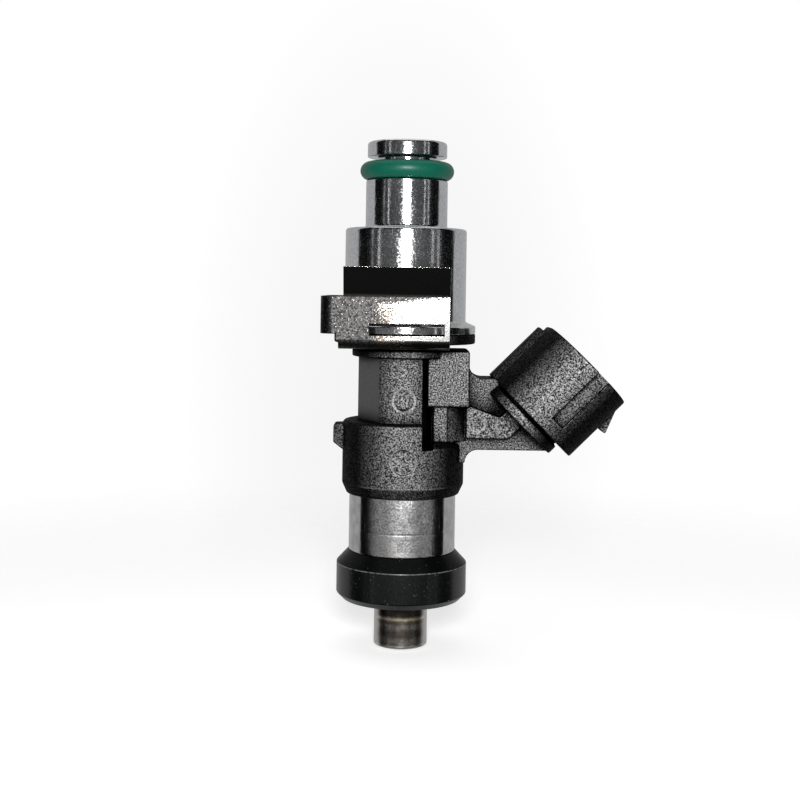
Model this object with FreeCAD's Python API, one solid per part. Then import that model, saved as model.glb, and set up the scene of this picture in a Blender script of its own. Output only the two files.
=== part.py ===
import FreeCAD, Part
import math
import os

# A port fuel injector with a machined top adapter, in millimetres and degrees.
# The origin is on the injector's axis, in the plane of the nozzle's end. +Z runs up to the fuel inlet,
# +X runs towards the electrical socket, and -Y is the front. The body is the same on its front and back.

# Valve sleeve: one deep-drawn steel tube from the nozzle to the inlet
SLEEVE_R = 3.5
SLEEVE_WALL = 0.5
SLEEVE_FLARE_Z = 37.5
SLEEVE_TOP_R = 4.3
SLEEVE_FLARE_TOP_Z = 38.9
SLEEVE_LIP_R = 5.8
SLEEVE_LIP_Z = 49.2
SLEEVE_TOP_Z = 49.8
TIP_CHAMFER = 0.15

# Valve seat, spray disc and moving needle
BORE_R = SLEEVE_R - SLEEVE_WALL
DISC_Z = 0.3
DISC_THICK = 0.3
SPRAY_HOLES = 6
SPRAY_HOLE_R = 0.12
SPRAY_CIRCLE_R = 0.38
BALL_R = 1.75
SEAT_TOP_Z = 4.2
SEAT_HOLE_R = 0.6
SEAT_CONE_Z = 0.9
GUIDE_R = BALL_R + 0.03
SEAT_GAP = 0.02
FLOW_SLOTS = 5
FLOW_SLOT_R = 0.45
TUBE_R = 1.2
TUBE_BORE_R = 0.8
TUBE_TOP_Z = 17.0
TUBE_HOLE_R = 0.35
TUBE_HOLE_ZS = (6.2, 8.4)
ARMATURE_R = BORE_R - 0.05
ARMATURE_Z = 14.0
ARMATURE_TOP_Z = 19.88
SPRING_POCKET_R = 1.75
SPRING_POCKET_Z = 18.6

# Inner pole, spring and the sleeve that sets the spring's force
POLE_Z = 20.0
POLE_TOP_Z = 34.0
POLE_BORE_R = 1.8
ADJUSTER_Z = 26.5
ADJUSTER_TOP_Z = 32.5
ADJUSTER_BORE_R = 1.15
SPRING_MEAN_R = 1.38
SPRING_WIRE_R = 0.17
SPRING_TURNS = 9

# Solenoid: steel cup, flux washer, bobbin and winding
HOUSING_R = 7.0
HOUSING_WALL = 0.8
HOUSING_Z = 12.45
HOUSING_FLOOR_TOP_Z = 14.0
HOUSING_TOP_Z = 25.2
WELD_LINE_Z = 15.45
WELD_LINE_DEPTH = 0.06
WASHER_Z = 24.0
BOBBIN_CORE_R = 4.0
BOBBIN_FLANGE = 0.8
WINDING_R = 5.8
WASHER_WINDOW = 0.4

# Lower seal ring and the hard ring that carries it
SEAL_R = 8.55
SEAL_Z = 6.15
SEAL_BOTTOM_CHAMFER = 0.8
SEAL_SHOULDER_Z = 10.85
SEAL_TOP_R = 7.05
CARRIER_R = 5.2
CARRIER_Z = 6.45
CARRIER_RIB_R = 6.0
CARRIER_RIB_ZS = (8.2, 10.4)

# Moulded body: barrel, column and neck
BARREL_R = 8.0
BARREL_Z = 19.95
BARREL_BOTTOM_R = 7.4
BARREL_CHAMFER_TOP_Z = 21.25
BARREL_TOP_Z = 29.45
BARREL_SHOULDER = 0.45
LEDGE_Z = 27.1
LEDGE_CHAMFER = 0.7
COLUMN_R = 6.05
COLUMN_TOP_Z = 37.85
FACET_ANGLE = 62.0
FACET_HALF_ANGLE = 28.0
COLLAR_R = 6.9
COLLAR_TOP_Z = 38.85
NECK_GROOVE_R = 5.9
NECK_FLANGE_R = 9.3
NECK_FLAT_Y = 8.2
NECK_FLANGE_Z = 39.65
NECK_FLANGE_TOP_Z = 40.9
SPIGOT_R = 6.5
SPIGOT_TOP_Z = 45.2
EDGE = 0.2

# Moulded body: plate, ribs and arm on the socket's side
SPLIT_X = 2.4
GROOVE_X = 3.85
GROOVE_FLOORS = (4.9, 2.9)
GROOVE_Z = 26.3
STRIP_X = 5.6
STRIP_HALF = 4.4
PLATE_LEFT_X = 3.15
PLATE_X = 8.4
PLATE_Z = 31.65
PLATE_TOP_Z = 38.8
PLATE_HALF = 5.1
RIB_X = 8.1
RIB_HALF = 4.8
RIB_LOW = (13.5, 27.65)
RIB_LOW_R = 0.9
RIB_WAIST = (12.4, 30.35)
RIB_WAIST_R = 0.5
RIB_TOP_Z = 31.9
RIB_END = (15.6, 13.5)
ARM_Z = 26.0
ARM_HALF = 3.3
POCKET_HALVES = (4.3, 3.05)
ARM_FOOT = 1.7
ARM_NOTCH_Z = 35.2
ARM_NOTCH_R = 2.0
LUG_X = -9.2
LUG_ZS = (25.65, 26.5, 28.95)
LUG_HALVES = (1.75, 1.3)

# Shallow round marks of the mould's ejector pins: x, z, radius
BARREL_MARK = (0.0, 24.8, 1.6, 0.28)
RIB_MARK = (9.46, 29.45, 0.95, 0.1)
RING_MARK_Z = 32.4
RING_MARK_R = 1.45
RING_MARK_WIDTH = 0.3
RING_MARK_DEPTH = 0.16

# Electrical socket, in its own frame: z runs out of the mouth, x across to the latch
SOCKET_X = 16.8
SOCKET_Z = 30.05
SOCKET_TILT = 45.0
SHROUD_R = 6.85
SHROUD_HALF = 1.65
SHROUD_LENGTH = 10.1
SHROUD_WALL = 1.3
SOCKET_FLOOR = 1.5
GUIDE_RIB_X = -7.75
GUIDE_RIB_LENGTH = 9.1
GUIDE_RIB_HALVES = (3.1, 1.3)
FLANGE_SHIFT = -0.95
FLANGE_R = 5.7
FLANGE_ZS = (-1.65, -0.3)
KEY_XS = (0.8, 2.75)
KEY_Z = 1.85
KEY_DEPTH_Y = 7.4
LATCH_X = 8.15
LATCH_ZS = (5.4, 8.7)
LATCH_HALF = 1.9

# Terminals
TERMINAL_Y = 2.45
TERMINAL_THICK = 0.6
BLADE_WIDTH = 2.3
BLADE_TIP = 7.6
LEAD_WIDTH = 1.2
LEAD_X = 4.8
LEAD_Z = 28.65
LEAD_END_Z = 23.4

# Top adapter
HAT_Z = 40.95
HAT_FLANGE_R = 9.3
HAT_FLANGE_TOP_Z = 41.95
HAT_R = 8.0
HAT_FLARE_TOP_Z = 42.5
HAT_SHOULDER_Z = 54.65
HAT_SHOULDER_EDGE = 0.5
HAT_NECK_R = 5.4
HAT_NECK_FILLET = 0.5
HAT_GROOVE_ZS = (60.95, 64.05)
HAT_GROOVE_R = 3.8
HAT_RIM_R = 5.25
HAT_TOP_Z = 66.05
HAT_RIM_CHAMFER = 0.4
HAT_INLET_R = 2.75
HAT_CUP_R = 6.75
HAT_CUP_TOP_Z = 51.0
HAT_CONE_TOP_Z = 53.0

# Seals at the top
RAIL_RING_SECTION_R = 1.2
RAIL_RING_Z = 62.25
BACKUP_TOP_Z = 46.4
BACKUP_R = 6.6

# Inlet filter
FILTER_Z = 42.0
FILTER_CAP_TOP_Z = 42.8
FILTER_TOP_Z = 48.4
FILTER_RING_TOP_Z = 49.5
FILTER_R = 2.9
FILTER_RING_BORE_R = 3.1
MESH_R = 2.45
MESH_THICK = 0.1
FILTER_RIBS = 4
FILTER_RIB_WIDTH = 0.7

# Retaining clip: a bent strip, open towards +X
CLIP_THICK = 0.5
CLIP_Y = 9.2
CLIP_BACK_X = -10.7
CLIP_FRONT_X = 5.65
CLIP_BEND_R = 1.5
CLIP_BACK_ZS = (41.0, 45.75)
CLIP_ARM_X = -8.7
CLIP_ARM_Z = 40.25
CLIP_SLOT_XS = (-4.5, 4.9)
CLIP_SLOT_ZS = (40.85, 42.3)
CLIP_WING_X = -7.8
CLIP_WING_TOP_Z = 49.45
CLIP_WING_LEAN = 20.0
CLIP_LIP_X = -8.4
CLIP_LIP_R = 1.15
CLIP_FORK_R = 6.05
CLIP_FORK_Y = 5.0

FAR = 20.0
TINY = 1e-6
ORIGIN = FreeCAD.Vector(0, 0, 0)
X_AXIS = FreeCAD.Vector(1, 0, 0)
Y_AXIS = FreeCAD.Vector(0, 1, 0)
Z_AXIS = FreeCAD.Vector(0, 0, 1)


def in_xz(a, b):
    return FreeCAD.Vector(a, 0, b)


def in_yz(a, b):
    return FreeCAD.Vector(0, a, b)


def in_xy(a, b):
    return FreeCAD.Vector(a, b, 0)


def outline(corners, plane):
    """A face inside the given corners. A corner is a pair, or a pair and the radius that rounds it."""
    points = [plane(c[0], c[1]) for c in corners]
    radii = [c[2] if len(c) > 2 else 0 for c in corners]
    edges = []
    starts = []
    ends = []
    for i, corner in enumerate(points):
        back = (points[i - 1] - corner).normalize()
        ahead = (points[(i + 1) % len(points)] - corner).normalize()
        half = back.getAngle(ahead) / 2
        reach = radii[i] / math.tan(half)
        starts.append(corner + back * reach)
        ends.append(corner + ahead * reach)
        if radii[i]:
            inward = (back + ahead).normalize()
            middle = corner + inward * (radii[i] / math.sin(half) - radii[i])
            edges.append(Part.Arc(starts[i], middle, ends[i]).toShape())
    for i, start in enumerate(starts):
        if ends[i - 1].distanceToPoint(start) > TINY:
            edges.append(Part.LineSegment(ends[i - 1], start).toShape())
    return Part.Face(Part.Wire(Part.__sortEdges__(edges)))


def turned(corners):
    """A solid of revolution about Z from (radius, z) corners."""
    return outline(corners, in_xz).revolve(ORIGIN, Z_AXIS, 360)


def tube(inner, outer, low, high):
    return turned([(inner, low), (outer, low), (outer, high), (inner, high)])


def rod(radius, low, high):
    return Part.makeCylinder(radius, high - low, FreeCAD.Vector(0, 0, low))


def block(xs, ys, zs):
    corner = FreeCAD.Vector(xs[0], ys[0], zs[0])
    return Part.makeBox(xs[1] - xs[0], ys[1] - ys[0], zs[1] - zs[0], corner)


def slab(corners, half):
    """A plate of an XZ outline, as thick to the front as to the back."""
    face = outline(corners, in_xz)
    face.translate(FreeCAD.Vector(0, -half, 0))
    return face.extrude(FreeCAD.Vector(0, 2 * half, 0))


def soft(shape, radius):
    """The same shape with all its edges rounded."""
    return shape.makeFillet(radius, shape.Edges)


def mirrored(shape):
    return shape.mirror(ORIGIN, Y_AXIS)


def both_sides(shape):
    return shape.fuse(mirrored(shape))


def oval(radius, half, low, high, shift=0):
    """An upright oval prism, wide along Y."""
    wide = half + radius
    left = shift - radius
    right = shift + radius
    corners = [(left, -wide), (right, -wide), (right, wide), (left, wide)]
    face = outline([(x, y, radius) for x, y in corners], in_xy)
    face.translate(FreeCAD.Vector(0, 0, low))
    return face.extrude(FreeCAD.Vector(0, 0, high - low))


def at_socket(shape):
    """Carries a shape from the socket's frame to the injector's."""
    shape.rotate(ORIGIN, Y_AXIS, SOCKET_TILT)
    shape.translate(FreeCAD.Vector(SOCKET_X, 0, SOCKET_Z))
    return shape


def whole(shape):
    """One clean solid from the result of joins and cuts."""
    return shape.removeSplitter().Solids[0]


# Valve sleeve, seat and needle


def sleeve_space():
    """The sleeve with its bore filled."""
    return turned(
        [
            (0, 0),
            (SLEEVE_R - TIP_CHAMFER, 0),
            (SLEEVE_R, TIP_CHAMFER),
            (SLEEVE_R, SLEEVE_FLARE_Z),
            (SLEEVE_TOP_R, SLEEVE_FLARE_TOP_Z),
            (SLEEVE_TOP_R, SLEEVE_LIP_Z),
            (SLEEVE_LIP_R, SLEEVE_LIP_Z, EDGE),
            (SLEEVE_LIP_R, SLEEVE_TOP_Z, EDGE),
            (0, SLEEVE_TOP_Z),
        ]
    )


def valve_sleeve():
    top_bore = SLEEVE_TOP_R - SLEEVE_WALL
    bore = turned(
        [
            (0, -1),
            (BORE_R, -1),
            (BORE_R, SLEEVE_FLARE_Z),
            (top_bore, SLEEVE_FLARE_TOP_Z),
            (top_bore, SLEEVE_TOP_Z + 1),
            (0, SLEEVE_TOP_Z + 1),
        ]
    )
    return whole(sleeve_space().cut(bore))


def orifice_plate():
    disc = rod(BORE_R, DISC_Z, DISC_Z + DISC_THICK)
    for i in range(SPRAY_HOLES):
        hole = rod(SPRAY_HOLE_R, 0, 1)
        hole.translate(FreeCAD.Vector(SPRAY_CIRCLE_R, 0, 0))
        hole.rotate(ORIGIN, Z_AXIS, 360 * i / SPRAY_HOLES)
        disc = disc.cut(hole)
    return whole(disc)


def valve_seat():
    cone_top = SEAT_CONE_Z + GUIDE_R - SEAT_HOLE_R
    low = DISC_Z + DISC_THICK
    seat = turned(
        [
            (SEAT_HOLE_R, low),
            (BORE_R, low),
            (BORE_R, SEAT_TOP_Z),
            (GUIDE_R, SEAT_TOP_Z),
            (GUIDE_R, cone_top),
            (SEAT_HOLE_R, SEAT_CONE_Z),
        ]
    )
    for i in range(FLOW_SLOTS):
        slot = rod(FLOW_SLOT_R, cone_top, SEAT_TOP_Z + 1)
        slot.translate(FreeCAD.Vector(GUIDE_R, 0, 0))
        slot.rotate(ORIGIN, Z_AXIS, 360 * i / FLOW_SLOTS)
        seat = seat.cut(slot)
    return whole(seat)


def ball_z():
    """The ball's centre when its sphere just clears the 45 degree seat cone."""
    return SEAT_CONE_Z - SEAT_HOLE_R + BALL_R * math.sqrt(2) + SEAT_GAP


def valve_ball():
    return Part.makeSphere(BALL_R, FreeCAD.Vector(0, 0, ball_z()))


def needle_tube():
    stem = tube(TUBE_BORE_R, TUBE_R, ball_z() + TUBE_BORE_R, TUBE_TOP_Z).cut(valve_ball())
    for z in TUBE_HOLE_ZS:
        base = FreeCAD.Vector(-FAR, 0, z)
        stem = stem.cut(Part.makeCylinder(TUBE_HOLE_R, 2 * FAR, base, X_AXIS))
    return whole(stem)


def armature():
    return turned(
        [
            (TUBE_R, ARMATURE_Z),
            (ARMATURE_R, ARMATURE_Z, EDGE),
            (ARMATURE_R, ARMATURE_TOP_Z),
            (SPRING_POCKET_R, ARMATURE_TOP_Z),
            (SPRING_POCKET_R, SPRING_POCKET_Z),
            (TUBE_BORE_R, SPRING_POCKET_Z),
            (TUBE_BORE_R, TUBE_TOP_Z),
            (TUBE_R, TUBE_TOP_Z),
        ]
    )


# Inner pole, spring and adjusting sleeve


def inner_pole():
    return tube(POLE_BORE_R, BORE_R, POLE_Z, POLE_TOP_Z)


def adjusting_sleeve():
    return tube(ADJUSTER_BORE_R, POLE_BORE_R, ADJUSTER_Z, ADJUSTER_TOP_Z)


def return_spring():
    low = SPRING_POCKET_Z + SPRING_WIRE_R
    height = ADJUSTER_Z - SPRING_WIRE_R - low
    path = Part.Wire(Part.makeHelix(height / SPRING_TURNS, height, SPRING_MEAN_R).Edges)
    section = Part.Wire(Part.makeCircle(SPRING_WIRE_R, FreeCAD.Vector(SPRING_MEAN_R, 0, 0), Y_AXIS))
    spring = path.makePipeShell([section], True, True)
    spring.translate(FreeCAD.Vector(0, 0, low))
    return spring


# Solenoid


def magnet_housing():
    inner = HOUSING_R - HOUSING_WALL
    cup = turned(
        [
            (SLEEVE_R, HOUSING_Z),
            (HOUSING_R, HOUSING_Z, EDGE),
            (HOUSING_R, HOUSING_TOP_Z),
            (inner, HOUSING_TOP_Z),
            (inner, HOUSING_FLOOR_TOP_Z),
            (SLEEVE_R, HOUSING_FLOOR_TOP_Z),
        ]
    )
    weld_line = turned(
        [
            (HOUSING_R + WELD_LINE_DEPTH, WELD_LINE_Z - 2 * WELD_LINE_DEPTH),
            (HOUSING_R + WELD_LINE_DEPTH, WELD_LINE_Z + 2 * WELD_LINE_DEPTH),
            (HOUSING_R - WELD_LINE_DEPTH, WELD_LINE_Z),
        ]
    )
    return whole(cup.cut(weld_line))


def housing_space():
    """What the moulded body leaves free for the steel cup and all inside it."""
    return rod(HOUSING_R, 0, HOUSING_TOP_Z)


def cover_ring():
    washer = tube(SLEEVE_R, HOUSING_R - HOUSING_WALL, WASHER_Z, HOUSING_TOP_Z)
    half = LEAD_WIDTH / 2 + WASHER_WINDOW
    reach = TERMINAL_Y + TERMINAL_THICK / 2 + WASHER_WINDOW
    window = block((LEAD_X - half, FAR), (-reach, reach), (WASHER_Z - 1, HOUSING_TOP_Z + 1))
    return whole(washer.cut(window))


def coil_bobbin():
    inner = HOUSING_R - HOUSING_WALL
    spool = turned(
        [
            (SLEEVE_R, HOUSING_FLOOR_TOP_Z),
            (inner, HOUSING_FLOOR_TOP_Z),
            (inner, HOUSING_FLOOR_TOP_Z + BOBBIN_FLANGE),
            (BOBBIN_CORE_R, HOUSING_FLOOR_TOP_Z + BOBBIN_FLANGE),
            (BOBBIN_CORE_R, WASHER_Z - BOBBIN_FLANGE),
            (inner, WASHER_Z - BOBBIN_FLANGE),
            (inner, WASHER_Z),
            (SLEEVE_R, WASHER_Z),
        ]
    )
    return whole(spool.cut(terminal(-1)).cut(terminal(1)))


def coil_winding():
    return tube(BOBBIN_CORE_R, WINDING_R, HOUSING_FLOOR_TOP_Z + BOBBIN_FLANGE, WASHER_Z - BOBBIN_FLANGE)


def terminal(side):
    """One flat terminal, from its blade in the socket down to the bobbin; side is -1 at the front."""
    half = LEAD_WIDTH / 2
    thick = TERMINAL_THICK / 2
    rise = SOCKET_Z - LEAD_Z + half
    foot = -rise / math.cos(math.radians(SOCKET_TILT))
    turn_x = SOCKET_X - rise
    blade_half = BLADE_WIDTH / 2
    blade = at_socket(
        slab(
            [
                (-half, foot),
                (half, foot),
                (half, SOCKET_FLOOR - 2 * half),
                (blade_half, SOCKET_FLOOR - half),
                (blade_half, BLADE_TIP - half),
                (half, BLADE_TIP),
                (-half, BLADE_TIP),
                (-blade_half, BLADE_TIP - half),
                (-blade_half, SOCKET_FLOOR - half),
                (-half, SOCKET_FLOOR - 2 * half),
            ],
            thick,
        )
    )
    run = block((LEAD_X - half, turn_x + half), (-thick, thick), (LEAD_Z - half, LEAD_Z + half))
    drop = block((LEAD_X - half, LEAD_X + half), (-thick, thick), (LEAD_END_Z, LEAD_Z))
    strip = whole(blade.fuse([run, drop]))
    strip.translate(FreeCAD.Vector(0, side * TERMINAL_Y, 0))
    return strip


def terminal_front():
    return terminal(-1)


def terminal_rear():
    return terminal(1)


# Lower seal


def seal_carrier():
    low, high = CARRIER_RIB_ZS
    return turned(
        [
            (SLEEVE_R, CARRIER_Z),
            (CARRIER_R, CARRIER_Z),
            (CARRIER_R, low),
            (CARRIER_RIB_R, low),
            (CARRIER_RIB_R, high),
            (CARRIER_R, high),
            (CARRIER_R, HOUSING_Z),
            (SLEEVE_R, HOUSING_Z),
        ]
    )


def lower_seal_ring():
    low, high = CARRIER_RIB_ZS
    return turned(
        [
            (CARRIER_R, SEAL_Z),
            (SEAL_R - SEAL_BOTTOM_CHAMFER, SEAL_Z, EDGE),
            (SEAL_R, SEAL_Z + SEAL_BOTTOM_CHAMFER, EDGE),
            (SEAL_R, SEAL_SHOULDER_Z, EDGE),
            (SEAL_TOP_R, HOUSING_Z),
            (CARRIER_R, HOUSING_Z),
            (CARRIER_R, high),
            (CARRIER_RIB_R, high),
            (CARRIER_RIB_R, low),
            (CARRIER_R, low),
        ]
    )


# Moulded body


def barrel():
    """The barrel, which is lower and has a chamfered top on the socket's side."""
    foot = [(0, BARREL_Z), (BARREL_BOTTOM_R, BARREL_Z), (BARREL_R, BARREL_CHAMFER_TOP_Z, EDGE)]
    tall = turned(foot + [(BARREL_R, BARREL_TOP_Z, BARREL_SHOULDER), (0, BARREL_TOP_Z)])
    chamfer = [(BARREL_R, LEDGE_Z - LEDGE_CHAMFER, EDGE), (BARREL_R - LEDGE_CHAMFER, LEDGE_Z, EDGE)]
    low = turned(foot + chamfer + [(0, LEDGE_Z)])
    return low.fuse(tall.cut(block((SPLIT_X, FAR), (-FAR, FAR), (-FAR, FAR + BARREL_TOP_Z))))


def column():
    """The round column with a flat at its left front and one at its left back."""
    post = rod(COLUMN_R, BARREL_Z, COLUMN_TOP_Z)
    depth = COLUMN_R * math.cos(math.radians(FACET_HALF_ANGLE))
    facet = block((-FAR, FAR), (-FAR, -depth), (BARREL_TOP_Z, COLUMN_TOP_Z))
    facet.rotate(ORIGIN, Z_AXIS, -FACET_ANGLE)
    return post.cut(both_sides(facet))


def head():
    """Collar, groove for the clip's fork, flange with two flats and the spigot inside the top adapter."""
    solid = turned(
        [
            (0, COLUMN_TOP_Z),
            (COLLAR_R, COLUMN_TOP_Z, EDGE),
            (COLLAR_R, COLLAR_TOP_Z, EDGE),
            (NECK_GROOVE_R, COLLAR_TOP_Z),
            (NECK_GROOVE_R, NECK_FLANGE_Z),
            (NECK_FLANGE_R, NECK_FLANGE_Z, EDGE),
            (NECK_FLANGE_R, NECK_FLANGE_TOP_Z),
            (SPIGOT_R, NECK_FLANGE_TOP_Z),
            (SPIGOT_R, SPIGOT_TOP_Z, EDGE),
            (0, SPIGOT_TOP_Z),
        ]
    )
    flat = block((-FAR, FAR), (-FAR, -NECK_FLAT_Y), (NECK_FLANGE_Z, NECK_FLANGE_TOP_Z))
    return solid.cut(both_sides(flat))


def arm():
    """The web that carries the socket. Its slanting end lies inside the socket's flange."""
    flange_x = SOCKET_X + SOCKET_Z - ARM_Z + FLANGE_ZS[0] * math.sqrt(2)
    web = slab(
        [
            (0, ARM_Z - ARM_FOOT),
            (BARREL_R, ARM_Z - ARM_FOOT),
            (BARREL_R, ARM_Z, ARM_FOOT),
            (flange_x, ARM_Z),
            (SOCKET_X - SHROUD_R / math.sqrt(2), ARM_NOTCH_Z),
            (PLATE_X, ARM_NOTCH_Z, ARM_NOTCH_R),
            (PLATE_X, PLATE_TOP_Z),
            (0, PLATE_TOP_Z),
        ],
        ARM_HALF,
    )
    wide, narrow = POCKET_HALVES
    taper = outline([(STRIP_X, -wide), (RIB_X, -narrow), (RIB_X, narrow), (STRIP_X, wide)], in_xy)
    taper.translate(Z_AXIS * LEDGE_Z)
    gap = block((STRIP_X, RIB_X), (-FAR, FAR), (LEDGE_Z, PLATE_Z))
    return web.cut(gap).fuse(taper.extrude(Z_AXIS * (PLATE_Z - LEDGE_Z)))


def arm_rib():
    """The thick middle rib of the arm, which ends inside the socket's flange."""
    return slab(
        [
            (RIB_X, RIB_LOW[1], EDGE),
            (*RIB_LOW, RIB_LOW_R),
            (RIB_END[0], RIB_LOW[1] + RIB_END[0] - RIB_LOW[0]),
            (RIB_END[1], RIB_WAIST[1] + RIB_END[1] - RIB_WAIST[0]),
            (*RIB_WAIST, RIB_WAIST_R),
            (RIB_X, RIB_TOP_Z, EDGE),
        ],
        RIB_HALF,
    )


def lug():
    """The lug on the barrel's left, narrower towards its end."""
    foot, step, top = LUG_ZS
    wide, narrow = LUG_HALVES
    side = outline([(-BARREL_R, -wide), (LUG_X, -narrow), (LUG_X, -FAR), (-BARREL_R, -FAR)], in_xy)
    side.translate(Z_AXIS * foot)
    solid = slab(
        [
            (-COLUMN_R, top),
            (LUG_X, top, 2 * EDGE),
            (LUG_X, step, EDGE),
            (-BARREL_R, foot),
            (-COLUMN_R, foot),
        ],
        wide,
    )
    return solid.cut(both_sides(side.extrude(Z_AXIS * (top - foot))))


def shroud():
    """The socket's oval shell with its guide rib, keyed sides, latch ramp and rear flange."""
    shell = oval(SHROUD_R, SHROUD_HALF, 0, SHROUD_LENGTH)
    shell = soft(shell, EDGE)
    low, high = FLANGE_ZS
    flange = soft(oval(FLANGE_R, SHROUD_HALF, low, high, FLANGE_SHIFT), EDGE)
    neck = oval(FLANGE_R - 2 * EDGE, SHROUD_HALF, high - EDGE, SOCKET_FLOOR, FLANGE_SHIFT)
    inside = -SHROUD_R + SHROUD_WALL / 2
    foot, crest = GUIDE_RIB_HALVES
    ridge = [(inside, -foot), (GUIDE_RIB_X, -crest, EDGE), (GUIDE_RIB_X, crest, EDGE), (inside, foot)]
    guide = outline(ridge, in_xy).extrude(Z_AXIS * GUIDE_RIB_LENGTH)
    low, high = LATCH_ZS
    latch = slab([(-inside, low), (LATCH_X, low, EDGE), (SHROUD_R, high), (-inside, high)], LATCH_HALF)
    body = shell.fuse([flange, neck, guide, latch])
    key = block(KEY_XS, (-FAR, -KEY_DEPTH_Y), (KEY_Z, FAR))
    return body.cut(both_sides(key))


def socket_space():
    return oval(SHROUD_R - SHROUD_WALL, SHROUD_HALF, SOCKET_FLOOR, FAR)


def round_mark(mark, face):
    """A shallow disc to cut from the front and back at the depth of a face."""
    x, z, radius, depth = mark
    base = FreeCAD.Vector(x, face - depth, z)
    return both_sides(Part.makeCylinder(radius, FAR, base, Y_AXIS))


def ring_mark():
    """A plain ring cut round the front and back of the column."""
    base = FreeCAD.Vector(0, COLUMN_R - RING_MARK_DEPTH, RING_MARK_Z)
    outer = Part.makeCylinder(RING_MARK_R, FAR, base, Y_AXIS)
    inner = Part.makeCylinder(RING_MARK_R - RING_MARK_WIDTH, FAR, base, Y_AXIS)
    return both_sides(outer.cut(inner))


def groove(right, low, high):
    """The groove beside the column, whose floor runs deeper towards the socket."""
    shallow, deep = GROOVE_FLOORS
    slope = (shallow - deep) / (GROOVE_X - SPLIT_X)
    floor = shallow - slope * (right - SPLIT_X)
    section = outline([(SPLIT_X, -FAR), (right, -FAR), (right, -floor), (SPLIT_X, -shallow)], in_xy)
    section.translate(Z_AXIS * low)
    return both_sides(section.extrude(Z_AXIS * (high - low)))


def injector_body():
    plate = soft(block((0, PLATE_X), (-PLATE_HALF, PLATE_HALF), (PLATE_Z, PLATE_TOP_Z)), EDGE)
    strip = block((GROOVE_X, STRIP_X), (-STRIP_HALF, STRIP_HALF), (LEDGE_Z, PLATE_Z))
    trim = block((GROOVE_X, FAR), (-FAR, -STRIP_HALF), (LEDGE_Z, PLATE_Z))
    post = column().cut(both_sides(trim))
    solid = barrel().fuse([post, head(), plate, strip, arm(), arm_rib(), lug(), at_socket(shroud())])
    spaces = [
        groove(GROOVE_X, GROOVE_Z, PLATE_Z),
        groove(PLATE_LEFT_X, PLATE_Z, COLUMN_TOP_Z),
        at_socket(socket_space()),
        round_mark(BARREL_MARK, BARREL_R),
        round_mark(RIB_MARK, RIB_HALF),
        ring_mark(),
        sleeve_space(),
        housing_space(),
        terminal(-1),
        terminal(1),
    ]
    for space in spaces:
        solid = solid.cut(space)
    return whole(solid)


# Top adapter, its seals and the filter


def top_hat():
    groove_low, groove_high = HAT_GROOVE_ZS
    return turned(
        [
            (HAT_CUP_R + EDGE, HAT_Z),
            (HAT_FLANGE_R, HAT_Z, EDGE),
            (HAT_FLANGE_R, HAT_FLANGE_TOP_Z, EDGE),
            (HAT_R, HAT_FLARE_TOP_Z, EDGE),
            (HAT_R, HAT_SHOULDER_Z, HAT_SHOULDER_EDGE),
            (HAT_NECK_R, HAT_SHOULDER_Z, HAT_NECK_FILLET),
            (HAT_NECK_R, groove_low, EDGE),
            (HAT_GROOVE_R, groove_low),
            (HAT_GROOVE_R, groove_high),
            (HAT_RIM_R, groove_high, EDGE),
            (HAT_RIM_R, HAT_TOP_Z - HAT_RIM_CHAMFER),
            (HAT_RIM_R - HAT_RIM_CHAMFER, HAT_TOP_Z),
            (HAT_INLET_R + HAT_RIM_CHAMFER, HAT_TOP_Z),
            (HAT_INLET_R, HAT_TOP_Z - HAT_RIM_CHAMFER),
            (HAT_INLET_R, HAT_CONE_TOP_Z),
            (HAT_CUP_R, HAT_CUP_TOP_Z),
            (HAT_CUP_R, HAT_Z + EDGE),
        ]
    )


def rail_o_ring():
    centre = FreeCAD.Vector(0, 0, RAIL_RING_Z)
    return Part.makeTorus(HAT_GROOVE_R + RAIL_RING_SECTION_R, RAIL_RING_SECTION_R, centre)


def inlet_o_ring():
    section = (HAT_CUP_R - SLEEVE_TOP_R) / 2
    centre = FreeCAD.Vector(0, 0, BACKUP_TOP_Z + section)
    return Part.makeTorus(SLEEVE_TOP_R + section, section, centre)


def backup_ring():
    return tube(SLEEVE_TOP_R, BACKUP_R, SPIGOT_TOP_Z, BACKUP_TOP_Z)


def filter_ring():
    return tube(FILTER_RING_BORE_R, SLEEVE_TOP_R - SLEEVE_WALL, FILTER_TOP_Z, FILTER_RING_TOP_Z)


def filter_frame():
    """A cap and a top ring joined by upright ribs."""
    cap = rod(FILTER_R, FILTER_Z, FILTER_CAP_TOP_Z)
    ring = tube(MESH_R - MESH_THICK, FILTER_RING_BORE_R, FILTER_TOP_Z, FILTER_RING_TOP_Z)
    wall = tube(MESH_R, FILTER_R, FILTER_CAP_TOP_Z, FILTER_TOP_Z)
    half = FILTER_RIB_WIDTH / 2
    ribs = []
    for i in range(FILTER_RIBS):
        rib = block((0, FAR), (-half, half), (FILTER_Z, FILTER_RING_TOP_Z)).common(wall)
        rib.rotate(ORIGIN, Z_AXIS, 360 * i / FILTER_RIBS)
        ribs.append(rib)
    return whole(cap.fuse([ring] + ribs))


def filter_mesh():
    return tube(MESH_R - MESH_THICK, MESH_R, FILTER_CAP_TOP_Z, FILTER_TOP_Z)


# Retaining clip


def along_x(corners, xs):
    """A prism of a YZ outline between two X values."""
    face = outline(corners, in_yz)
    face.translate(FreeCAD.Vector(xs[0], 0, 0))
    return face.extrude(FreeCAD.Vector(xs[1] - xs[0], 0, 0))


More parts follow.
